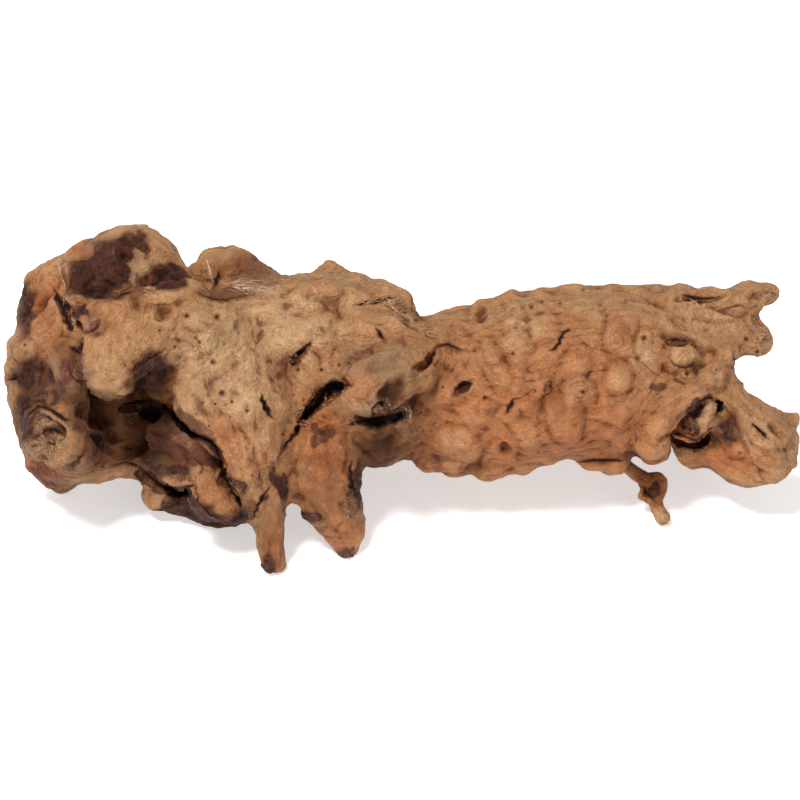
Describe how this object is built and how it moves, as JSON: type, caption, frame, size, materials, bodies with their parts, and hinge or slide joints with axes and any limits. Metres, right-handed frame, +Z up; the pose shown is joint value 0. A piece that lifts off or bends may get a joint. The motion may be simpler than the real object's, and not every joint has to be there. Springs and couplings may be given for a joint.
{
  "type": "bog wood root",
  "caption": "Gnarled piece of bog wood root: a knotty trunk with a thick burled head, broken root stubs and hollows, lying level on its stubs",
  "frame": {"origin": "centre of the root's bounding box at its bottom, on the ground", "axes": "+X along the trunk, away from the thick head; +Y to the far side; +Z up, away from the ground"},
  "size_m": [0.3948, 0.1599, 0.1334],
  "materials": {
    "root_wood": "dry weathered root wood, matt, tan with darker bark in the hollows"
  },
  "bodies": {
    "root": {"bog_wood_root": "root_wood"}
  },
  "joints": []
}
